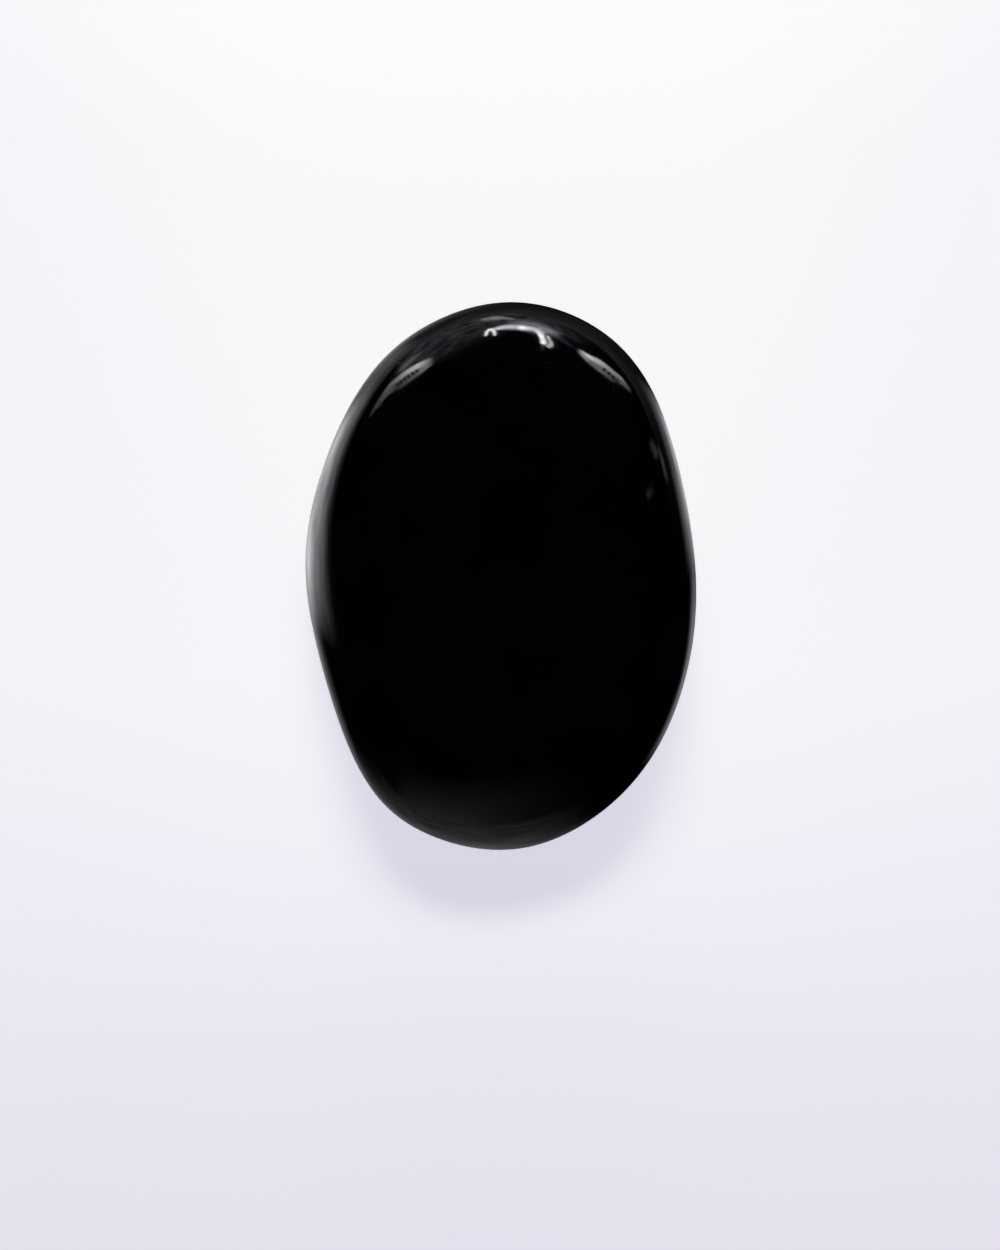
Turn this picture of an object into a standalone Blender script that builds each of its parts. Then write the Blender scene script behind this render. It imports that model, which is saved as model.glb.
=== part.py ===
# Black agate: one loose oval stone, tumbled and polished, lying on its flattest side.
# Metres, +Z up. Its long axis runs along Y, and the origin is on the surface it rests on,
# below the middle of the stone.

from math import cos, pi, radians, sin, tan

import bmesh
import bpy
from mathutils import Vector

# Real size of the finished stone.
LENGTH = 0.0300
WIDTH = 0.0214
THICKNESS = 0.0130

# The stone is a swollen oval that wear has left with broad, softly joined flats.
# Each flat of the girth is a direction in degrees, from +X towards +Y, and its distance from
# the middle. Together they are the outline seen from above.
GIRTH_FLATS = {
    "right_side": (13, 0.01095),
    "head_right": (60, 0.01465),
    "head_left": (115, 0.01425),
    "left_shoulder": (159, 0.01125),
    "left_side": (197, 0.01115),
    "left_flank": (247, 0.01505),
    "foot": (301, 0.01490),
    "right_flank": (343, 0.01185),
}
CROWN_RISE = 0.0071
BASE_DROP = 0.0070

# Faces worn across the shoulders: direction, degrees above the horizontal, and distance.
FACES = {
    "crown": (105, 85, 0.0069),
    "base": (0, -90, 0.0067),
    "left_shoulder": (188, 34, 0.0106),
    "right_shoulder": (55, 60, 0.0102),
    "foot_shoulder": (283, 44, 0.0126),
    "under_head": (95, -44, 0.0126),
    "under_left": (205, -40, 0.0108),
    "under_right": (332, -36, 0.0106),
}

# The higher the power, the tighter the curve between two neighbouring flats.
GIRTH_POWER = 8
SHOULDER_POWER = 2.8
FACE_POWER = 10

# The patch that the stone lies on is worn flat to this depth.
RESTING_DEPTH = 0.00006
MERGE_DISTANCE = 0.00002

# Grid squares along each edge of the cube that is blown up into the stone.
DIVISIONS = 20

SHARP_ANGLE = radians(30)
BLACK = (0.0012, 0.0012, 0.0014, 1.0)
ROUGHNESS = 0.05
CHALCEDONY_IOR = 1.54


def clear_scene():
    for obj in list(bpy.data.objects):
        bpy.data.objects.remove(obj, do_unlink=True)


def heading(azimuth, elevation=0):
    turn = radians(azimuth)
    rise = radians(elevation)
    return Vector((cos(rise) * cos(turn), cos(rise) * sin(turn), sin(rise)))


GIRTH_PLANES = [heading(turn) / reach for turn, reach in GIRTH_FLATS.values()]
FACE_PLANES = [heading(turn, rise) / reach for turn, rise, reach in FACES.values()]


def soft_largest(shares, power):
    """The largest of some positive numbers, rounded off where two of them are alike."""
    return sum(max(0, share) ** power for share in shares) ** (1 / power)


def depth(point):
    """How far out a point lies: 0 at the middle of the stone and 1 on its surface."""
    level = point.z / (CROWN_RISE if point.z > 0 else -BASE_DROP)
    outline = soft_largest((plane.dot(point) for plane in GIRTH_PLANES), GIRTH_POWER)
    oval = soft_largest((outline, level), SHOULDER_POWER)
    faces = [plane.dot(point) for plane in FACE_PLANES]
    return soft_largest([oval, *faces], FACE_POWER)


def blow_up(corner):
    """Moves a point of a cube of side 2 out to the stone's surface, with even spacing."""
    ball = Vector([tan(part * pi / 4) for part in corner]).normalized()
    oval = ball * Vector((WIDTH, LENGTH, THICKNESS)) / 2
    return oval / depth(oval)


def bounds(points):
    low = Vector([min(values) for values in zip(*points)])
    high = Vector([max(values) for values in zip(*points)])
    return low, high


def fit_to_size(mesh):
    """Brings the stone to its real size, with its lowest point RESTING_DEPTH below the floor."""
    low, high = bounds([vert.co for vert in mesh.verts])
    size = Vector((WIDTH, LENGTH, THICKNESS + RESTING_DEPTH))
    foot = Vector(((low.x + high.x) / 2, (low.y + high.y) / 2, low.z))
    for vert in mesh.verts:
        for axis in range(3):
            scale = size[axis] / (high[axis] - low[axis])
            vert.co[axis] = (vert.co[axis] - foot[axis]) * scale
        vert.co.z -= RESTING_DEPTH


def flatten_resting_patch(mesh):
    """Cuts the stone off at the floor and closes it with one flat face."""
    cut = bmesh.ops.bisect_plane(
        mesh,
        geom=[*mesh.verts, *mesh.edges, *mesh.faces],
        dist=MERGE_DISTANCE,
        plane_co=(0, 0, 0),
        plane_no=(0, 0, -1),
        clear_outer=True,
    )
    rim = [item for item in cut["geom_cut"] if isinstance(item, bmesh.types.BMEdge)]
    bmesh.ops.contextual_create(mesh, geom=rim)
    for vert in {vert for edge in rim for vert in edge.verts}:
        vert.co.z = 0


def agate_material():
    material = bpy.data.materials.new("black_agate")
    material.use_nodes = True
    shader = material.node_tree.nodes["Principled BSDF"]
    shader.inputs["Base Color"].default_value = BLACK
    shader.inputs["Roughness"].default_value = ROUGHNESS
    shader.inputs["Metallic"].default_value = 0
    shader.inputs["IOR"].default_value = CHALCEDONY_IOR
    return material


def agate_stone(collection):
    mesh = bmesh.new()
    bmesh.ops.create_cube(mesh, size=2)
    bmesh.ops.subdivide_edges(mesh, edges=mesh.edges[:], cuts=DIVISIONS - 1, use_grid_fill=True)
    for vert in mesh.verts:
        vert.co = blow_up(vert.co)
    fit_to_size(mesh)
    flatten_resting_patch(mesh)
    bmesh.ops.recalc_face_normals(mesh, faces=mesh.faces[:])

    data = bpy.data.meshes.new("agate_stone")
    mesh.to_mesh(data)
    mesh.free()
    data.shade_smooth()
    data.set_sharp_from_angle(angle=SHARP_ANGLE)
    data.materials.append(agate_material())
    stone = bpy.data.objects.new("agate_stone", data)
    collection.objects.link(stone)
    return stone


def main():
    clear_scene()
    collection = bpy.data.collections.new("agate")
    bpy.context.scene.collection.children.link(collection)
    agate_stone(collection)


main()
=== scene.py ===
from math import cos, pi, radians, sin

import bmesh
import bpy
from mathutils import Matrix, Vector


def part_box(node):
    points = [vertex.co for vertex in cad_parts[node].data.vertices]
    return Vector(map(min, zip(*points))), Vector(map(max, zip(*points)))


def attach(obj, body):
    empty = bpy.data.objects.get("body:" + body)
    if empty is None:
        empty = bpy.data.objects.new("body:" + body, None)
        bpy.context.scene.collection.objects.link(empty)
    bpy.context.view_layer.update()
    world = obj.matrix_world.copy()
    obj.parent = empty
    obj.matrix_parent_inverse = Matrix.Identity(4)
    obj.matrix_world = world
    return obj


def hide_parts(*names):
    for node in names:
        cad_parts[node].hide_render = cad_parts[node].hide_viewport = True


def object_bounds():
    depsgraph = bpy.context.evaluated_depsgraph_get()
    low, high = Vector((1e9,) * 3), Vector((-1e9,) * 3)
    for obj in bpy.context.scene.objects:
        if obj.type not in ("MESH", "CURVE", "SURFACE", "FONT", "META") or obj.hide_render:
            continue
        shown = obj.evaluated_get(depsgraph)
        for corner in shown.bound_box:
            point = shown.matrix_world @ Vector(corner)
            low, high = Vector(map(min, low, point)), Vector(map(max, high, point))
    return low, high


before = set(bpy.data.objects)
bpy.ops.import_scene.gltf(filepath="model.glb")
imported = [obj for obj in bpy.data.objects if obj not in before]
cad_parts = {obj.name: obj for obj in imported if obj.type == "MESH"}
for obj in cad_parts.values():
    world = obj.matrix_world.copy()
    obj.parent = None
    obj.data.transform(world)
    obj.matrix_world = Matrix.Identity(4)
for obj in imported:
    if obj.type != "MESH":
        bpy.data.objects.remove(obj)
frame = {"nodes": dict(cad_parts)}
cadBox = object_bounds()
print("Agate frame loaded:", ", ".join(frame["nodes"]))

millimetre = 0.001


def linearColour(hexColour):
    # sRGB hex to the linear colour that the nodes work in
    linear = []
    for place in (1, 3, 5):
        share = int(hexColour[place : place + 2], 16) / 255
        linear.append(share / 12.92 if share <= 0.04045 else ((share + 0.055) / 1.055) ** 2.4)
    return (*linear, 1.0)


def addNode(tree, kind, inputs=None, stops=None, **settings):
    # one node with its settings; an input is a value, a node or one output of a node, and
    # stops are the colours or grey levels of a ramp, each at its place from 0 to 1
    node = tree.nodes.new(kind)
    for name, value in settings.items():
        setattr(node, name, value)
    for number, (place, shade) in enumerate((stops or {}).items()):
        made = node.color_ramp.elements
        stop = made[number] if number < 2 else made.new(place)
        stop.position = place
        stop.color = linearColour(shade) if isinstance(shade, str) else (shade, shade, shade, 1.0)
    for socket, value in (inputs or {}).items():
        if isinstance(value, bpy.types.Node):
            value = value.outputs[0]
        if isinstance(value, bpy.types.NodeSocket):
            tree.links.new(value, node.inputs[socket])
        else:
            node.inputs[socket].default_value = value
    return node


def heading(azimuth, elevation=0):
    # degrees to a direction; azimuth turns from +X towards +Y
    turn = radians(azimuth)
    rise = radians(elevation)
    return Vector((cos(rise) * cos(turn), cos(rise) * sin(turn), sin(rise)))


# The stone: an oval blown up from a cube, worn into broad flats that run softly together.
stoneForm = {
    # outline seen from above: direction in degrees and distance from the middle in millimetres
    "girthFlats": {
        "right side": (13, 10.95),
        "head right": (60, 14.65),
        "head left": (115, 14.25),
        "left shoulder": (159, 11.25),
        "left side": (197, 11.15),
        "left flank": (247, 15.05),
        "foot": (301, 14.90),
        "right flank": (343, 11.85),
    },
    # faces worn across the shoulders: direction, degrees above level, distance in millimetres
    "wornFaces": {
        "crown": (105, 85, 6.9),
        "base": (0, -90, 6.7),
        "left shoulder": (188, 34, 10.6),
        "right shoulder": (55, 60, 10.2),
        "foot shoulder": (283, 44, 12.6),
        "under head": (95, -44, 12.6),
        "under left": (205, -40, 10.8),
        "under right": (332, -36, 10.6),
    },
    # named inputs of the node tree
    "inputs": {
        "Cells": 118,                        # squares along each edge of the cube
        "Crown rise": 7.1 * millimetre,
        "Base drop": 7.0 * millimetre,
        "Girth power": 8.0,                  # the higher, the tighter the curve between two flats
        "Shoulder power": 2.8,
        "Face power": 10.0,
        "Resting depth": 0.06 * millimetre,  # worn off where the stone lies
        "Swell width": 7.0 * millimetre,     # slow waves that tumbling leaves
        "Swell height": 0.05 * millimetre,
        "Ripple width": 1.6 * millimetre,
        "Ripple height": 0.007 * millimetre,
        "Wave roughness": 0.4,               # how much finer waves ride on both
        "Dimples per square metre": 5200.0,
        "Dimple spacing": 6.0 * millimetre,
        "Dimple radius": 1.1 * millimetre,   # of the widest
        "Narrowest dimple": 0.45,            # as a share of the widest
        "Dimple depth": 0.016 * millimetre,
        "Seed": 11,
    },
}


def softLargest(tree, shares, power):
    # the largest of some positive numbers, rounded off where two of them are alike
    total = 0.0
    for share in shares:
        positive = addNode(tree, "ShaderNodeMath", {0: share, 1: 0.0}, operation="MAXIMUM")
        raised = addNode(tree, "ShaderNodeMath", {0: positive, 1: power}, operation="POWER")
        total = addNode(tree, "ShaderNodeMath", {0: total, 1: raised}, operation="ADD")
    root = addNode(tree, "ShaderNodeMath", {0: 1.0, 1: power}, operation="DIVIDE")
    return addNode(tree, "ShaderNodeMath", {0: total, 1: root}, operation="POWER")


def stoneTree():
    tree = bpy.data.node_groups.new("tumbledStone", "GeometryNodeTree")
    tree.is_modifier = True
    socketKinds = {int: "NodeSocketInt", float: "NodeSocketFloat"}
    tree.interface.new_socket("Geometry", in_out="INPUT", socket_type="NodeSocketGeometry")
    for name, value in stoneForm["inputs"].items():
        tree.interface.new_socket(name, in_out="INPUT", socket_type=socketKinds[type(value)])
    for name in ("Low corner", "High corner"):
        tree.interface.new_socket(name, in_out="INPUT", socket_type="NodeSocketVector")
    tree.interface.new_socket("Finish", in_out="INPUT", socket_type="NodeSocketMaterial")
    tree.interface.new_socket("Geometry", in_out="OUTPUT", socket_type="NodeSocketGeometry")
    given = addNode(tree, "NodeGroupInput").outputs

    # cube of side 2 with its grid warped so that the squares stay even on the ball
    corners = addNode(tree, "ShaderNodeMath", {0: given["Cells"], 1: 1.0}, operation="ADD")
    cube = addNode(
        tree,
        "GeometryNodeMeshCube",
        {"Size": (2, 2, 2), "Vertices X": corners, "Vertices Y": corners, "Vertices Z": corners},
    )
    place = addNode(tree, "GeometryNodeInputPosition")
    parts = addNode(tree, "ShaderNodeSeparateXYZ", {0: place})
    warped = addNode(tree, "ShaderNodeCombineXYZ")
    for axis in range(3):
        part = parts.outputs[axis]
        angle = addNode(tree, "ShaderNodeMath", {0: part, 1: pi / 4}, operation="MULTIPLY")
        slope = addNode(tree, "ShaderNodeMath", {0: angle}, operation="TANGENT")
        tree.links.new(slope.outputs[0], warped.inputs[axis])
    ball = addNode(tree, "ShaderNodeVectorMath", {0: warped}, operation="NORMALIZE")
    size = addNode(
        tree,
        "ShaderNodeVectorMath",
        {0: given["High corner"], 1: given["Low corner"]},
        operation="SUBTRACT",
    )
    reach = addNode(tree, "ShaderNodeVectorMath", {0: size, 1: (0.5, 0.5, 0.5)}, operation="MULTIPLY")
    oval = addNode(tree, "ShaderNodeVectorMath", {0: ball, 1: reach}, operation="MULTIPLY")

    # how far out a point lies, from 0 at the middle to 1 on the surface
    height = addNode(tree, "ShaderNodeSeparateXYZ", {0: oval}).outputs[2]
    above = addNode(tree, "ShaderNodeMath", {0: height, 1: given["Crown rise"]}, operation="DIVIDE")
    below = addNode(tree, "ShaderNodeMath", {0: height, 1: given["Base drop"]}, operation="DIVIDE")
    sunk = addNode(tree, "ShaderNodeMath", {0: below, 1: -1.0}, operation="MULTIPLY")
    level = addNode(tree, "ShaderNodeMath", {0: above, 1: sunk}, operation="MAXIMUM")
    girth = []
    for turn, distance in stoneForm["girthFlats"].values():
        flat = heading(turn) / (distance * millimetre)
        share = addNode(tree, "ShaderNodeVectorMath", {0: oval, 1: flat}, operation="DOT_PRODUCT")
        girth.append(share.outputs["Value"])
    outline = softLargest(tree, girth, given["Girth power"])
    faces = [softLargest(tree, [outline, level], given["Shoulder power"])]
    for turn, rise, distance in stoneForm["wornFaces"].values():
        flat = heading(turn, rise) / (distance * millimetre)
        share = addNode(tree, "ShaderNodeVectorMath", {0: oval, 1: flat}, operation="DOT_PRODUCT")
        faces.append(share.outputs["Value"])
    depth = softLargest(tree, faces, given["Face power"])
    shrink = addNode(tree, "ShaderNodeMath", {0: 1.0, 1: depth}, operation="DIVIDE")
    surface = addNode(tree, "ShaderNodeVectorMath", {0: oval, "Scale": shrink}, operation="SCALE")
    shaped = addNode(tree, "GeometryNodeSetPosition", {"Geometry": cube, "Position": surface})

    # slow swells and finer ripples along the normal: they bend the reflections as real polish does
    along = addNode(tree, "GeometryNodeInputNormal")
    rise = 0.0
    for wave in ("Swell", "Ripple"):
        width, height = given[wave + " width"], given[wave + " height"]
        density = addNode(tree, "ShaderNodeMath", {0: 1.0, 1: width}, operation="DIVIDE")
        noise = addNode(
            tree,
            "ShaderNodeTexNoise",
            {
                "Vector": place,
                "W": given["Seed"],
                "Scale": density,
                "Detail": 1.0,
                "Roughness": given["Wave roughness"],
            },
            noise_dimensions="4D",
        )
        middle = addNode(tree, "ShaderNodeMath", {0: noise, 1: 0.5}, operation="SUBTRACT")
        tall = addNode(tree, "ShaderNodeMath", {0: middle, 1: height}, operation="MULTIPLY")
        rise = addNode(tree, "ShaderNodeMath", {0: rise, 1: tall}, operation="ADD")
    lift = addNode(tree, "ShaderNodeVectorMath", {0: along, "Scale": rise}, operation="SCALE")
    waved = addNode(tree, "GeometryNodeSetPosition", {"Geometry": shaped, "Offset": lift})

    # a few shallow dimples, each of its own width
    scattered = addNode(
        tree,
        "GeometryNodeDistributePointsOnFaces",
        {
            "Mesh": waved,
            "Distance Min": given["Dimple spacing"],
            "Density Max": given["Dimples per square metre"],
            "Seed": given["Seed"],
        },
        distribute_method="POISSON",
    )
    nearest = addNode(tree, "GeometryNodeSampleNearest", {"Geometry": scattered})
    narrowest = addNode(
        tree,
        "ShaderNodeMath",
        {0: given["Dimple radius"], 1: given["Narrowest dimple"]},
        operation="MULTIPLY",
    )
    anyWidth = addNode(
        tree,
        "FunctionNodeRandomValue",
        {2: narrowest, 3: given["Dimple radius"], "Seed": given["Seed"]},
        data_type="FLOAT",
    )
    width = addNode(
        tree,
        "GeometryNodeSampleIndex",
        {"Geometry": scattered, "Value": anyWidth.outputs[1], "Index": nearest},
        data_type="FLOAT",
    )
    away = addNode(tree, "GeometryNodeProximity", {0: scattered}, target_element="POINTS")
    bowl = addNode(
        tree,
        "ShaderNodeMapRange",
        {"Value": away.outputs["Distance"], "From Max": width, "To Min": 1.0, "To Max": 0.0},
        interpolation_type="SMOOTHSTEP",
    )
    bite = addNode(tree, "ShaderNodeMath", {0: bowl, 1: given["Dimple depth"]}, operation="MULTIPLY")
    inwards = addNode(tree, "ShaderNodeMath", {0: bite, 1: -1.0}, operation="MULTIPLY")
    sink = addNode(tree, "ShaderNodeVectorMath", {0: along, "Scale": inwards}, operation="SCALE")
    dimpled = addNode(tree, "GeometryNodeSetPosition", {"Geometry": waved, "Offset": sink})

    # fit to the real size, then wear the resting patch flat
    box = addNode(tree, "GeometryNodeBoundBox", {"Geometry": dimpled})
    deep = addNode(tree, "ShaderNodeCombineXYZ", {"Z": given["Resting depth"]})
    lowest = addNode(
        tree, "ShaderNodeVectorMath", {0: given["Low corner"], 1: deep}, operation="SUBTRACT"
    )
    fitted = addNode(
        tree,
        "ShaderNodeMapRange",
        {
            6: place,
            7: box.outputs["Min"],
            8: box.outputs["Max"],
            9: lowest,
            10: given["High corner"],
        },
        data_type="FLOAT_VECTOR",
    )
    resting = addNode(
        tree,
        "ShaderNodeVectorMath",
        {0: fitted.outputs["Vector"], 1: given["Low corner"]},
        operation="MAXIMUM",
    )
    sized = addNode(tree, "GeometryNodeSetPosition", {"Geometry": dimpled, "Position": resting})
    smooth = addNode(tree, "GeometryNodeSetShadeSmooth", {"Geometry": sized})
    real = addNode(tree, "GeometryNodeRealizeInstances", {"Geometry": smooth})
    finished = addNode(
        tree, "GeometryNodeSetMaterial", {"Geometry": real, "Material": given["Finish"]}
    )
    addNode(tree, "NodeGroupOutput", {"Geometry": finished})
    return tree


# Black agate, a dense chalcedony, tumble polished: it gives the eye a wet, glassy black that shows
# only what it mirrors, with a hair of haze and a few hairlines and pinpricks where light crosses it.
agateFinish = {
    "deepBlack": "#020203",
    "smokyBlack": "#060608",
    "cloudWidth": 6.0 * millimetre,
    "cloudRange": (0.42, 0.62),               # noise levels between which a cloud forms
    "refraction": 1.54,                       # chalcedony
    "polish": 0.045,                          # roughness of the cleanest areas
    "haze": 0.04,                             # roughness added where the polish is a little tired
    "hazeWidth": 4.17 * millimetre,
    "hazeRange": (0.4, 0.7),
    "peelWidth": 0.6 * millimetre,            # faint unevenness of the polish
    "peelDepth": 0.0007 * millimetre,
    "pinprickSpacing": 0.9 * millimetre,      # of the places where a pinprick may be
    "pinprickRadius": 0.144 * millimetre,
    "pinprickDepth": 0.012 * millimetre,
    "pinprickShare": 0.07,                    # of those places that hold one
    "pinprickRoughness": 0.3,
    "hairlineSpacing": 1.0 * millimetre,
    "hairlineCrest": (0.78, 0.84),            # only the crests of the noise show, as thin lines
    "hairlineDepth": 0.0006 * millimetre,
    "hairlineRoughness": 0.12,
    "hairlineTilt": (0.4, 0.2),               # radians
    "hairlineRuns": ((0.5, 18), (2.1, 26)),   # direction in radians and length to width
}


def agateMaterial():
    finish = agateFinish
    material = bpy.data.materials.new("tumblePolishedBlackAgate")
    material.use_nodes = True
    tree = material.node_tree
    tree.nodes.clear()
    place = addNode(tree, "ShaderNodeTexCoord").outputs["Object"]

    clouds = addNode(
        tree, "ShaderNodeTexNoise", {"Vector": place, "Scale": 1 / finish["cloudWidth"], "Detail": 4.0}
    )
    clear, full = finish["cloudRange"]
    cloudy = addNode(tree, "ShaderNodeMapRange", {"Value": clouds, "From Min": clear, "From Max": full})
    black = addNode(
        tree,
        "ShaderNodeMix",
        {0: cloudy, 6: linearColour(finish["deepBlack"]), 7: linearColour(finish["smokyBlack"])},
        data_type="RGBA",
    )

    # hairlines lie in two directions, each a thin crest of a long stretched noise
    lines = 0.0
    foot, top = finish["hairlineCrest"]
    for turn, stretch in finish["hairlineRuns"]:
        laid = addNode(
            tree,
            "ShaderNodeMapping",
            {
                "Vector": place,
                "Rotation": (*finish["hairlineTilt"], turn),
                "Scale": (1, 1 / stretch, 1),
            },
        )
        streaks = addNode(
            tree,
            "ShaderNodeTexNoise",
            {"Vector": laid, "Scale": 1 / finish["hairlineSpacing"], "Detail": 0.0},
        )
        crest = addNode(tree, "ShaderNodeMapRange", {"Value": streaks, "From Min": foot, "From Max": top})
        lines = addNode(tree, "ShaderNodeMath", {0: lines, 1: crest}, operation="MAXIMUM")

    # a small share of the cells hold a pinprick
    cells = addNode(
        tree, "ShaderNodeTexVoronoi", {"Vector": place, "Scale": 1 / finish["pinprickSpacing"]}
    )
    pick = addNode(tree, "ShaderNodeSeparateColor", {0: cells.outputs["Color"]})
    chosen = addNode(
        tree, "ShaderNodeMath", {0: pick, 1: 1 - finish["pinprickShare"]}, operation="GREATER_THAN"
    )
    hollow = addNode(
        tree,
        "ShaderNodeMapRange",
        {
            "Value": cells.outputs["Distance"],
            "From Max": finish["pinprickRadius"] / finish["pinprickSpacing"],
            "To Min": 1.0,
            "To Max": 0.0,
        },
        interpolation_type="SMOOTHSTEP",
    )
    pinprick = addNode(tree, "ShaderNodeMath", {0: chosen, 1: hollow}, operation="MULTIPLY")

    smudges = addNode(
        tree, "ShaderNodeTexNoise", {"Vector": place, "Scale": 1 / finish["hazeWidth"], "Detail": 3.0}
    )
    clean, smeared = finish["hazeRange"]
    roughness = addNode(
        tree,
        "ShaderNodeMapRange",
        {
            "Value": smudges,
            "From Min": clean,
            "From Max": smeared,
            "To Min": finish["polish"],
            "To Max": finish["polish"] + finish["haze"],
        },
    )
    for flaw, added in ((lines, "hairlineRoughness"), (pinprick, "pinprickRoughness")):
        roughness = addNode(
            tree, "ShaderNodeMath", {0: flaw, 1: finish[added], 2: roughness}, operation="MULTIPLY_ADD"
        )

    peel = addNode(
        tree, "ShaderNodeTexNoise", {"Vector": place, "Scale": 1 / finish["peelWidth"], "Detail": 1.0}
    )
    relief = addNode(tree, "ShaderNodeBump", {"Height": peel, "Distance": finish["peelDepth"]})
    relief = addNode(
        tree,
        "ShaderNodeBump",
        {"Height": lines, "Distance": finish["hairlineDepth"], "Normal": relief},
        invert=True,
    )
    relief = addNode(
        tree,
        "ShaderNodeBump",
        {"Height": pinprick, "Distance": finish["pinprickDepth"], "Normal": relief},
        invert=True,
    )
    shader = addNode(
        tree,
        "ShaderNodeBsdfPrincipled",
        {
            "Base Color": black.outputs[2],
            "Roughness": roughness,
            "IOR": finish["refraction"],
            "Normal": relief,
        },
    )
    addNode(tree, "ShaderNodeOutputMaterial", {"Surface": shader})
    return material


def agateStone():
    low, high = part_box("agate_stone")
    stone = bpy.data.objects.new("polishedStone", bpy.data.meshes.new("polishedStone"))
    bpy.context.scene.collection.objects.link(stone)
    growth = stone.modifiers.new("tumbledStone", "NODES")
    growth.node_group = stoneTree()
    chosen = {
        **stoneForm["inputs"],
        "Low corner": low,
        "High corner": high,
        "Finish": agateMaterial(),
    }
    for socket in growth.node_group.interface.items_tree:
        if socket.in_out == "INPUT" and socket.name in chosen:
            growth[socket.identifier] = chosen[socket.name]
    stone.update_tag()
    evaluated = stone.evaluated_get(bpy.context.evaluated_depsgraph_get())
    plain = bpy.data.meshes.new_from_object(evaluated)
    stone.modifiers.remove(growth)
    stone.data = plain
    plain.name = "polishedStone"
    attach(stone, "root")
    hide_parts("agate_stone")
    print("Stone grown:", len(plain.polygons), "faces")
    return stone


agateStone()


# The pale lavender ground, with the same shade far off as in the backdrop behind it.
groundLook = {
    # from in front of the stone, at 0, to behind it, at 1
    "shades": {
        0.15: "#E2DEED",
        0.23: "#E8E4F0",
        0.32: "#EFEDF7",
        0.44: "#F5F4FA",
        0.74: "#F7F6FB",
        0.82: "#FAFAFE",
    },
    "sideShade": "#FAFAFC",      # multiplied in towards the left and right
    "sides": (0.2, 0.7),         # where that begins and is whole, with 1 as the far side
    "fade": 40.0 * millimetre,   # over which the shade turns
    "glow": 0.557,               # share of its light that comes through from below
    "contact": (0.3, 1.0),       # painted shadow under the stone: where the glow starts and is whole, in outlines from the middle
    "paintedShadowGlow": 0.12,         # glow left in the painted shadow where the stone touches
    "radius": 4000 * millimetre,
}


def groundShade(tree, direction):
    # lighter behind the stone, deeper lavender in front of it, a touch deeper to both sides
    parts = addNode(tree, "ShaderNodeSeparateXYZ", {0: direction})
    place = addNode(
        tree, "ShaderNodeMapRange", {"Value": parts.outputs[1], "From Min": -1.0, "From Max": 1.0}
    )
    ramp = addNode(tree, "ShaderNodeValToRGB", {0: place}, groundLook["shades"])
    side = addNode(tree, "ShaderNodeMath", {0: parts.outputs[0]}, operation="ABSOLUTE")
    begin, whole = groundLook["sides"]
    outer = addNode(
        tree,
        "ShaderNodeMapRange",
        {"Value": side, "From Min": begin, "From Max": whole},
        interpolation_type="SMOOTHSTEP",
    )
    return addNode(
        tree,
        "ShaderNodeMix",
        {0: outer, 6: ramp, 7: linearColour(groundLook["sideShade"])},
        data_type="RGBA",
        blend_type="MULTIPLY",
    ).outputs[2]


def disc(name, radius, height, material):
    mesh = bmesh.new()
    bmesh.ops.create_circle(mesh, cap_ends=True, segments=128, radius=radius)
    data = bpy.data.meshes.new(name)
    mesh.to_mesh(data)
    mesh.free()
    data.materials.append(material)
    flat = bpy.data.objects.new(name, data)
    flat.location.z = height
    bpy.context.scene.collection.objects.link(flat)
    return flat


def outlinePlace(tree, place):
    # a place measured in outlines of the stone, seen from above: the outline itself is 1
    wide, long, _ = cadBox[1]
    return addNode(
        tree, "ShaderNodeVectorMath", {0: place, 1: (1 / wide, 1 / long, 0)}, operation="MULTIPLY"
    )


def groundMaterial():
    material = bpy.data.materials.new("backlitLavenderGroundPaintedShadow")
    material.use_nodes = True
    tree = material.node_tree
    tree.nodes.clear()
    place = addNode(tree, "ShaderNodeTexCoord").outputs["Object"]
    lift = (0, 0, groundLook["fade"])
    raised = addNode(tree, "ShaderNodeVectorMath", {0: place, 1: lift}, operation="ADD")
    direction = addNode(tree, "ShaderNodeVectorMath", {0: raised}, operation="NORMALIZE")
    shade = groundShade(tree, direction)

    # painted shadow under the stone: the glow is turned down towards where the stone touches the ground
    out = addNode(tree, "ShaderNodeVectorMath", {0: outlinePlace(tree, place)}, operation="LENGTH")
    begin, whole = groundLook["contact"]
    glow = addNode(
        tree,
        "ShaderNodeMapRange",
        {
            "Value": out.outputs["Value"],
            "From Min": begin,
            "From Max": whole,
            "To Min": groundLook["paintedShadowGlow"],
            "To Max": groundLook["glow"],
        },
        interpolation_type="SMOOTHSTEP",
    )
    shader = addNode(
        tree,
        "ShaderNodeBsdfPrincipled",
        {
            "Base Color": shade,
            "Roughness": 1.0,
            "Specular IOR Level": 0.0,
            "Emission Color": shade,
            "Emission Strength": glow,
        },
    )
    addNode(tree, "ShaderNodeOutputMaterial", {"Surface": shader})
    return material


ground = disc("ground", groundLook["radius"], 0, groundMaterial())
ground.visible_glossy = False
print("Ground laid")
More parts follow.
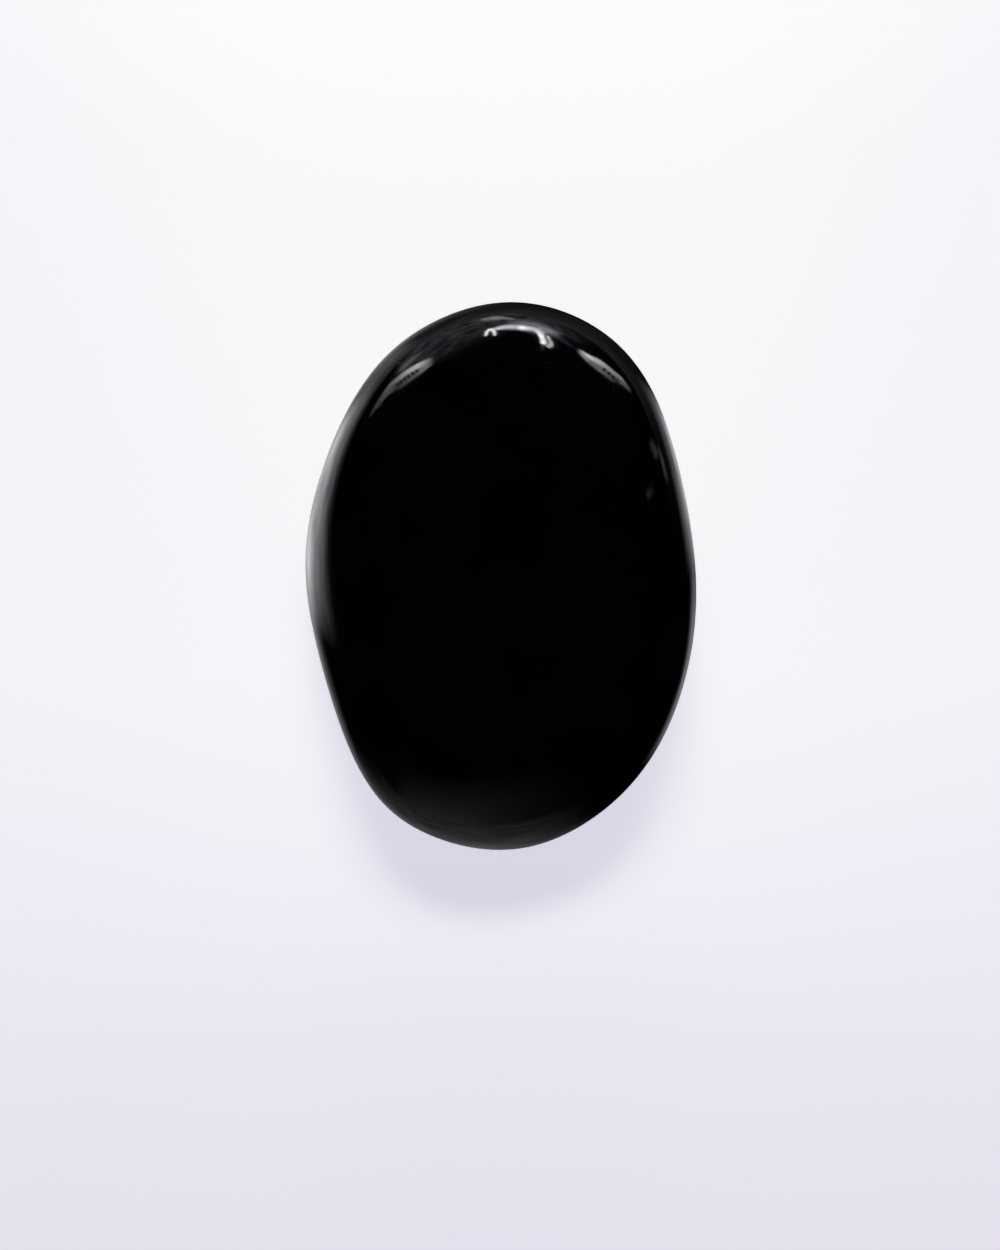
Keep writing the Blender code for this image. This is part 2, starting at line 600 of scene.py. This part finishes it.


# What the polish mirrors: in place of the ground, a dark sheet with painted pools of light round the stone.
# Its dark middle is painted shade where the stone meets the ground.
mirrorLook = {
    "radius": 60 * millimetre,
    "hem": 14 * millimetre,     # over which its edge fades out
    "depth": 0.2 * millimetre,  # below the ground's own surface
    # each pool: bearing and spread in degrees round the stone's outline, where it starts, is full,
    # begins to fade and ends, counted in outlines from the middle, and its brightness
    "pools": {
        "left": (167, 25, (1.0, 1.6, 0.8, 4.0), 1.9),
        "left high": (140, 18, (1.2, 2.0, 0.8, 4.0), 0.7),
        "head": (100, 95, (0.8, 4.0, 6.0, 8.0), 0.25),
        "right": (20, 20, (0.8, 1.0, 1.0, 2.5), 0.9),
        "right low": (-15, 25, (1.0, 1.5, 0.8, 2.0), 1.0),
        "right streak": (17.5, 3, (3.0, 4.0, 5.0, 6.0), 0.4),
        "foot": (-105, 50, (0.8, 1.0, 6.0, 8.0), 0.17),
        "rim": (165, 80, (0.8, 1.0, 1.0, 1.8), 0.5),
    },
    "mottleWidth": 6 * millimetre,
    "mottle": 0.35,
    "tint": "#F2F4F8",
}


def emissionMaterial(name, build):
    # a see-through sheet that glows where the pattern says
    material = bpy.data.materials.new(name)
    material.use_nodes = True
    tree = material.node_tree
    tree.nodes.clear()
    colour, strength, mask = build(tree)
    glow = addNode(tree, "ShaderNodeEmission", {"Color": colour, "Strength": strength})
    clear = addNode(tree, "ShaderNodeBsdfTransparent")
    mixed = addNode(tree, "ShaderNodeMixShader", {0: mask, 1: clear, 2: glow})
    addNode(tree, "ShaderNodeOutputMaterial", {"Surface": mixed})
    return material


def mottle(tree, place, width, amount):
    # uneven brightness, from 1 - amount to 1 + amount
    noise = addNode(tree, "ShaderNodeTexNoise", {"Vector": place, "Scale": 1 / width, "Detail": 2.0})
    return addNode(
        tree,
        "ShaderNodeMapRange",
        {
            "Value": noise,
            "From Min": 0.3,  # noise seldom leaves 0.3 to 0.7
            "From Max": 0.7,
            "To Min": 1 - amount,
            "To Max": 1 + amount,
        },
    )


def poolPattern(tree):
    # painted pools of light where the lit ground would be mirrored, left dark near the stone as painted
    # shade
    look = mirrorLook
    place = addNode(tree, "ShaderNodeTexCoord").outputs["Object"]
    outline = outlinePlace(tree, place)
    out = addNode(tree, "ShaderNodeVectorMath", {0: outline}, operation="LENGTH").outputs["Value"]
    aim = addNode(tree, "ShaderNodeVectorMath", {0: outline}, operation="NORMALIZE")
    total = 0.0
    for bearing, spread, (start, full, fade, end), brightness in look["pools"].values():
        middle = heading(bearing)
        turned = addNode(tree, "ShaderNodeVectorMath", {0: aim, 1: middle}, operation="DOT_PRODUCT")
        wedge = addNode(
            tree,
            "ShaderNodeMapRange",
            {"Value": turned.outputs["Value"], "From Min": cos(radians(spread)), "From Max": 1.0},
            interpolation_type="SMOOTHSTEP",
        )
        grow = addNode(
            tree,
            "ShaderNodeMapRange",
            {"Value": out, "From Min": start, "From Max": full},
            interpolation_type="SMOOTHSTEP",
        )
        shrink = addNode(
            tree,
            "ShaderNodeMapRange",
            {"Value": out, "From Min": fade, "From Max": end, "To Min": brightness, "To Max": 0.0},
            interpolation_type="SMOOTHSTEP",
        )
        ring = addNode(tree, "ShaderNodeMath", {0: grow, 1: shrink}, operation="MULTIPLY")
        pool = addNode(tree, "ShaderNodeMath", {0: wedge, 1: ring}, operation="MULTIPLY")
        total = addNode(tree, "ShaderNodeMath", {0: total, 1: pool}, operation="ADD")
    uneven = mottle(tree, place, look["mottleWidth"], look["mottle"])
    strength = addNode(tree, "ShaderNodeMath", {0: total, 1: uneven}, operation="MULTIPLY")
    away = addNode(tree, "ShaderNodeVectorMath", {0: place}, operation="LENGTH").outputs["Value"]
    whole = addNode(
        tree,
        "ShaderNodeMapRange",
        {"Value": away, "From Min": look["radius"], "From Max": look["radius"] - look["hem"]},
        interpolation_type="SMOOTHSTEP",
    )
    return linearColour(look["tint"]), strength, whole


def mirroredOnly(thing):
    # seen by the polish alone, and neither by the camera nor by the ground
    thing.visible_camera = False
    thing.visible_diffuse = False
    thing.visible_shadow = False
    thing.visible_transmission = False
    thing.visible_volume_scatter = False


pooledLight = emissionMaterial("pooledLight", poolPattern)
mirroredOnly(disc("mirroredGroundStandIn", mirrorLook["radius"], -mirrorLook["depth"], pooledLight))
print("Dark cloth laid, with pools of light:", len(mirrorLook["pools"]))


# Light strips round the stone. Each point of a path is azimuth, elevation and half width in
# degrees, as seen from the middle of the stone. Levels are brightness by the place along the path,
# from 0 to 1. Cells are a row of dark panes: where it begins and ends along the path, how many there
# are, how much they lean, and where its middle lies across the strip, at its start and its end.
strips = {
    "leftHook": {
        "path": [
            (91.9, 22.8, 0.9),
            (91.8, 17.6, 1.3),
            (90.2, 14.3, 1.7),
            (88.4, 18.6, 1.3),
            (87.8, 23.2, 0.8),
        ],
        "brightness": 20.0,
    },
    "arch": {
        "path": [
            (88.8, 15.5, 2.2),
            (86, 13.2, 4.2),
            (82, 11.8, 5.0),
            (78, 11.1, 4.8),
            (74.5, 10.2, 3.8),
            (72.2, 11.4, 2.8),
            (70.9, 14, 1.8),
        ],
        "brightness": 20.0,
        "levels": {0.0: 0.6, 0.45: 0.5, 0.55: 1.0, 0.75: 0.5, 0.9: 0.8},
    },
    "innerHook": {
        "path": [(71.5, 12.6, 1.5), (70.3, 16.2, 1.4), (69.5, 19.2, 1.3), (69.5, 22.4, 0.8)],
        "brightness": 19.0,
        "softness": 0.35,
    },
    "outerHook": {
        "path": [(69, 12, 0.7), (68.5, 14.5, 0.8), (67.7, 17, 0.8), (67.5, 19, 0.8), (68.1, 22.9, 0.6)],
        "brightness": 8.5,
        "softness": 0.35,
    },
    "archGlow": {
        "path": [(86, 9, 4), (80, 6.5, 9.5), (75, 6, 10), (70.5, 10, 9), (66.5, 12.5, 4)],
        "brightness": 5.0,
        "levels": {0.0: 0.25, 0.45: 0.45, 0.7: 1.0, 1.0: 0.25},
        "tint": "#F0EEFA",
        "endSoftness": 0.25,
        "mottle": 0.4,
        "distance": 134 * millimetre,
    },
    "violetSmear": {
        "path": [(68.5, 8.5, 3.4), (66, 9.5, 3.4), (63.5, 11, 2.6), (61.5, 12, 1.6)],
        "brightness": 1.5,
        "levels": {0.0: 1.0, 0.4: 0.3, 1.0: 0.15},
        "tint": "#CFC6E8",
        "endSoftness": 0.2,
        "distance": 136 * millimetre,
    },
    "dimPatch": {
        "path": [(96.8, -5.5, 2), (93.5, -4.5, 5.5), (89.5, -2.5, 5.5), (85.5, -1, 3.5), (82.5, 1.5, 2)],
        "brightness": 3.1,
        "levels": {0.0: 0.7, 0.45: 1.0, 1.0: 0.6},
        "tint": "#F2F6EE",
    },
    "leftLens": {
        "path": [(114, 28, 4), (121, 25, 8), (130, 19, 10), (136, 12, 8), (142, 9, 4.5), (147.5, 5.5, 2.5)],
        "upright": True,
        "brightness": 10.0,
        "levels": {0.0: 0.1, 0.2: 0.9, 0.5: 0.3, 0.75: 0.12, 1.0: 0.01},
        "farShare": {0.0: 1.0, 0.2: 0.25, 0.55: 0.25, 0.75: 1.0},
        "softness": 0.2,
        "turn": (0.36, 0.56),
        "cells": {"from": 0.185, "to": 0.545, "count": 6, "lean": 0.09, "middle": (0.59, 0.59)},
        "tint": "#F0F6F4",
    },
    "leftWisp": {
        "path": [(120, 2, 4), (123, 4, 8), (126, 5, 9.5), (129, 5.5, 8.5), (131.5, 6, 5)],
        "brightness": 1.35,
        "endSoftness": 0.3,
        "mottle": 0.35,
        "distance": 134 * millimetre,
    },
    "rightLens": {
        "path": [(61, 11, 2), (57.5, 11.5, 4.5), (54, 9, 6.5), (49, 5.5, 6.5), (45, 0, 4), (40.5, -3, 2)],
        "upright": True,
        "brightness": 12.0,
        "levels": {0.0: 0.15, 0.12: 0.9, 0.4: 0.35, 0.7: 0.28, 0.85: 0.1, 1.0: 0.01},
        "farShare": {0.0: 1.0, 0.15: 0.2, 0.4: 0.4, 0.65: 0.05, 0.85: 1.0},
        "softness": 0.2,
        "turn": (0.36, 0.56),
        "cells": {"from": 0.31, "to": 0.58, "count": 3, "lean": 0.08, "middle": (0.54, 0.6)},
    },
    "rightStreak": {
        "path": [(28.6, 0.5, 6), (26.6, -2, 7.5), (24.8, -4.2, 8), (23.2, -6.5, 6)],
        "upright": True,
        "brightness": 0.42,
        "levels": {0.0: 0.5, 0.5: 0.85, 0.75: 1.0, 1.0: 0.8},
        "endSoftness": 0.2,
    },
    "rightFleck": {
        "path": [(20.4, 14, 1.1), (20.8, 18.5, 1.5), (21.2, 23.5, 1.5), (21.6, 28, 1.0)],
        "brightness": 0.36,
        "levels": {0.0: 0.4, 0.4: 0.5, 0.75: 1.0, 1.0: 0.8},
        "endSoftness": 0.2,
    },
    "headGlow": {
        "path": [(136, -4, 14), (120, 4, 26), (112, 7, 31), (97, -6, 28), (76, -8, 22), (56, -8, 18)],
        "brightness": 0.44,
        "levels": {0.0: 0.25, 0.2: 1.0, 0.3: 0.75, 0.6: 0.9, 1.0: 0.4},
        "softness": 0.3,
        "endSoftness": 0.12,
        "tint": "#EEF4F2",
        "otherTint": "#D4DCF4",
        "mottle": 0.75,
        "mottleWidth": 11 * millimetre,
        "distance": 142 * millimetre,
    },
    "footGlow": {
        "path": [
            (-142, 8, 22),
            (-124, 11, 27),
            (-106, 12, 30),
            (-88, 12, 30),
            (-72, 8, 26),
            (-58, 4, 20),
        ],
        "brightness": 0.235,
        "levels": {0.0: 0.15, 0.4: 1.0, 0.55: 1.0, 0.8: 0.25, 1.0: 0.03},
        "softness": 0.05,
        "endSoftness": 0.25,
        "farShare": {0.0: 0.0, 1.0: 0.0},
        "turn": (0.0, 0.85),
        "tint": "#F4F2F0",
        "distance": 142 * millimetre,
    },
}
stripDefaults = {
    "upright": False,     # whether its width stands straight up, and not square to the path
    "levels": {0.0: 1.0, 1.0: 1.0},
    "softness": 0.5,      # share of the width over which each long edge fades
    "endSoftness": 0.06,
    "farShare": {0.0: 1.0, 1.0: 1.0},  # brightness of its far long side, where the near one has 1
    "turn": (0.0, 1.0),   # shares of the width between which it turns from near to far
    "cells": None,        # no panes
    "tint": "#F4F6FA",
    "otherTint": None,    # mottled in where it is given
    "mottle": 0.15,
    "mottleWidth": 6 * millimetre,
    "distance": 130 * millimetre,
    "columns": 6,         # squares across it
    "steps": 10,          # rows between two points of its path
}
# how every pane is drawn
paneLook = {
    "rail": (0.08, 0.19),  # a pane's half width where it starts to fade and ends
    "wave": (-0.2, 0.6),   # of the cosine that parts the panes: in a pane, and on a rung
    "dark": (0.97, 0.15),  # light taken away there
    "margin": 0.3,         # of a pane, kept clear at both ends of the row
}
stoneMiddle = Vector((0, 0, cadBox[1][2] / 2))


def smoothPath(points, steps):
    # a smooth curve that passes through every point
    ends = [points[0], *points, points[-1]]
    path = []
    for number in range(len(points) - 1):
        a, b, c, d = [Vector(point) for point in ends[number : number + 4]]
        for step in range(steps):
            t = step / steps
            bend = (2 * a - 5 * b + 4 * c - d) * t**2 + (3 * b - a - 3 * c + d) * t**3
            path.append(0.5 * (2 * b + (c - a) * t + bend))
    return [*path, Vector(points[-1])]


def stripPattern(look):
    def build(tree):
        spread = addNode(tree, "ShaderNodeTexCoord").outputs["UV"]
        along, across = addNode(tree, "ShaderNodeSeparateXYZ", {0: spread}).outputs[:2]
        place = addNode(tree, "ShaderNodeTexCoord").outputs["Object"]
        mask = 1.0
        for run, softness in ((across, look["softness"]), (along, look["endSoftness"])):
            opposite = addNode(tree, "ShaderNodeMath", {0: 1.0, 1: run}, operation="SUBTRACT")
            edge = addNode(tree, "ShaderNodeMath", {0: run, 1: opposite}, operation="MINIMUM")
            fade = addNode(
                tree,
                "ShaderNodeMapRange",
                {"Value": edge, "From Min": 0.0, "From Max": softness},
                interpolation_type="SMOOTHSTEP",
            )
            mask = addNode(tree, "ShaderNodeMath", {0: mask, 1: fade}, operation="MULTIPLY")

        far = addNode(tree, "ShaderNodeValToRGB", {0: along}, look["farShare"])
        begin, end = look["turn"]
        side = addNode(
            tree,
            "ShaderNodeMapRange",
            {"Value": across, "From Min": begin, "From Max": end, "To Min": 1.0, "To Max": far},
        )
        uneven = mottle(tree, place, look["mottleWidth"], look["mottle"])
        shares = [addNode(tree, "ShaderNodeValToRGB", {0: along}, look["levels"]), side, uneven]

        cells = look["cells"]
        if cells:
            first, last = cells["middle"]
            middle = addNode(
                tree,
                "ShaderNodeMapRange",
                {
                    "Value": along,
                    "From Min": cells["from"],
                    "From Max": cells["to"],
                    "To Min": first,
                    "To Max": last,
                },
            )
            offCentre = addNode(tree, "ShaderNodeMath", {0: across, 1: middle}, operation="SUBTRACT")
            sideways = addNode(tree, "ShaderNodeMath", {0: offCentre}, operation="ABSOLUTE")
            dense, clear = paneLook["rail"]
            pane = addNode(
                tree,
                "ShaderNodeMapRange",
                {"Value": sideways, "From Min": dense, "From Max": clear, "To Min": 1.0, "To Max": 0.0},
                interpolation_type="SMOOTHSTEP",
            )
            leant = addNode(
                tree, "ShaderNodeMath", {0: offCentre, 1: cells["lean"], 2: along}, operation="MULTIPLY_ADD"
            )
            counted = addNode(
                tree,
                "ShaderNodeMapRange",
                {
                    "Value": leant,
                    "From Min": cells["from"],
                    "From Max": cells["to"],
                    "To Max": cells["count"],
                },
            )
            turns = addNode(tree, "ShaderNodeMath", {0: counted, 1: 2 * pi}, operation="MULTIPLY")
            wave = addNode(tree, "ShaderNodeMath", {0: turns}, operation="COSINE")
            inPane, onRung = paneLook["wave"]
            darkest, palest = paneLook["dark"]
            gap = addNode(
                tree,
                "ShaderNodeMapRange",
                {
                    "Value": wave,
                    "From Min": inPane,
                    "From Max": onRung,
                    "To Min": darkest,
                    "To Max": palest,
                },
            )
            left = addNode(tree, "ShaderNodeMath", {0: cells["count"], 1: counted}, operation="SUBTRACT")
            inside = addNode(tree, "ShaderNodeMath", {0: counted, 1: left}, operation="MINIMUM")
            framed = addNode(
                tree, "ShaderNodeMapRange", {"Value": inside, "From Max": paneLook["margin"]}
            )
            dark = addNode(tree, "ShaderNodeMath", {0: pane, 1: framed}, operation="MULTIPLY")
            hole = addNode(tree, "ShaderNodeMath", {0: dark, 1: gap}, operation="MULTIPLY")
            shares.append(addNode(tree, "ShaderNodeMath", {0: 1.0, 1: hole}, operation="SUBTRACT"))

        strength = look["brightness"]
        for share in shares:
            strength = addNode(tree, "ShaderNodeMath", {0: strength, 1: share}, operation="MULTIPLY")
        colour = linearColour(look["tint"])
        if look["otherTint"]:
            # patches of the other tint, a little wider than the mottling
            patches = addNode(
                tree, "ShaderNodeTexNoise", {"Vector": place, "Scale": 0.7 / look["mottleWidth"]}
            )
            much = addNode(
                tree, "ShaderNodeMapRange", {"Value": patches, "From Min": 0.4, "From Max": 0.6}
            )
            colour = addNode(
                tree,
                "ShaderNodeMix",
                {0: much, 6: colour, 7: linearColour(look["otherTint"])},
                data_type="RGBA",
            ).outputs[2]
        return colour, strength, mask

    return build


def lightStrip(name, strip):
    # a curved sheet of several columns, so that all of it keeps its distance from the stone
    look = {**stripDefaults, **strip}
    path = smoothPath(look["path"], look["steps"])
    columns = look["columns"]
    corners = []
    run = [0.0]
    for number, here in enumerate(path):
        ahead = path[min(number + 1, len(path) - 1)] - path[max(number - 1, 0)]
        squeeze = cos(radians(here.y))
        square = Vector((-ahead.y, ahead.x * squeeze))
        across = Vector((0, 1)) if look["upright"] else square.normalized()
        for column in range(columns + 1):
            side = here.z * (2 * column / columns - 1)
            aim = heading(here.x + side * across.x / squeeze, here.y + side * across.y)
            corners.append(stoneMiddle + aim * look["distance"])
        if number:
            step = heading(*here.xy) - heading(*path[number - 1].xy)
            run.append(run[-1] + step.length)
    faces = []
    for row in range(len(path) - 1):
        for column in range(columns):
            first = row * (columns + 1) + column
            faces.append((first, first + 1, first + columns + 2, first + columns + 1))
    data = bpy.data.meshes.new(name)
    data.from_pydata(corners, [], faces)
    spread = data.uv_layers.new(name="spread")
    for loop in data.loops:
        row, column = divmod(loop.vertex_index, columns + 1)
        spread.data[loop.index].uv = (run[row] / run[-1], column / columns)
    data.materials.append(emissionMaterial(name + "Glow", stripPattern(look)))
    sheet = bpy.data.objects.new(name, data)
    bpy.context.scene.collection.objects.link(sheet)
    mirroredOnly(sheet)


for name, strip in strips.items():
    lightStrip(name, strip)
print("Light strips hung:", len(strips))


# Soft studio light: one lamp straight above, and a row of soft ones behind the stone that lay its
# shadow in front of it. The polish doesn't mirror them.
lamps = {
    "overhead": {"heading": (90, 89.9), "share": 0.27, "spread": 9, "tint": "#F0EAFF"},
    "behindLeft": {"heading": (104, 58), "share": 0.055, "spread": 11, "tint": "#F4FFD8"},
    "behind": {"heading": (90, 60), "share": 0.11, "spread": 11, "tint": "#F4FFD8"},
    "behindRight": {"heading": (76, 58), "share": 0.055, "spread": 11, "tint": "#F4FFD8"},
}
for name, lamp in lamps.items():
    aim = heading(*lamp["heading"])
    light = bpy.data.lights.new(name, "SUN")
    light.energy = lamp["share"] * pi / aim.z
    light.angle = radians(lamp["spread"])
    light.color = linearColour(lamp["tint"])[:3]
    shining = bpy.data.objects.new(name, light)
    shining.rotation_euler = aim.to_track_quat("Z", "Y").to_euler()
    shining.location = aim * 0.5  # any distance, because a sun lamp lights alike from all
    shining.visible_glossy = False
    bpy.context.scene.collection.objects.link(shining)

# The room is a pale backdrop to the camera, nearly dark to the ground and unseen by the polish.
ambientLight = 0.02
world = bpy.data.worlds.new("paleRoom")
world.use_nodes = True
world.node_tree.nodes.clear()
tree = world.node_tree
direction = addNode(tree, "ShaderNodeTexCoord").outputs["Generated"]
seen = addNode(tree, "ShaderNodeBackground", {"Color": groundShade(tree, direction)})
ambient = addNode(tree, "ShaderNodeBackground", {"Color": (1, 1, 1, 1), "Strength": ambientLight})
straight = addNode(tree, "ShaderNodeLightPath").outputs["Is Camera Ray"]
room = addNode(tree, "ShaderNodeMixShader", {0: straight, 1: ambient, 2: seen})
addNode(tree, "ShaderNodeOutputWorld", {"Surface": room})
world.cycles_visibility.glossy = False
bpy.context.scene.world = world
bpy.context.scene.view_settings.view_transform = "Standard"
print("Lamps and room lit")


# The camera looks straight down on the stone, as the photograph looks at its broad side.
cameraPlace = {
    "height": 196.7 * millimetre,
    "lengthways": -2.6 * millimetre,
    "lens": 100,
    "nearest": 5 * millimetre,
    "farthest": 20000 * millimetre,
}
lens = bpy.data.cameras.new("camera")
lens.lens = cameraPlace["lens"]
lens.clip_start = cameraPlace["nearest"]
lens.clip_end = cameraPlace["farthest"]
camera = bpy.data.objects.new("camera", lens)
camera.location = (0, cameraPlace["lengthways"], cameraPlace["height"])
bpy.context.scene.collection.objects.link(camera)
bpy.context.scene.camera = camera
print("Camera set")
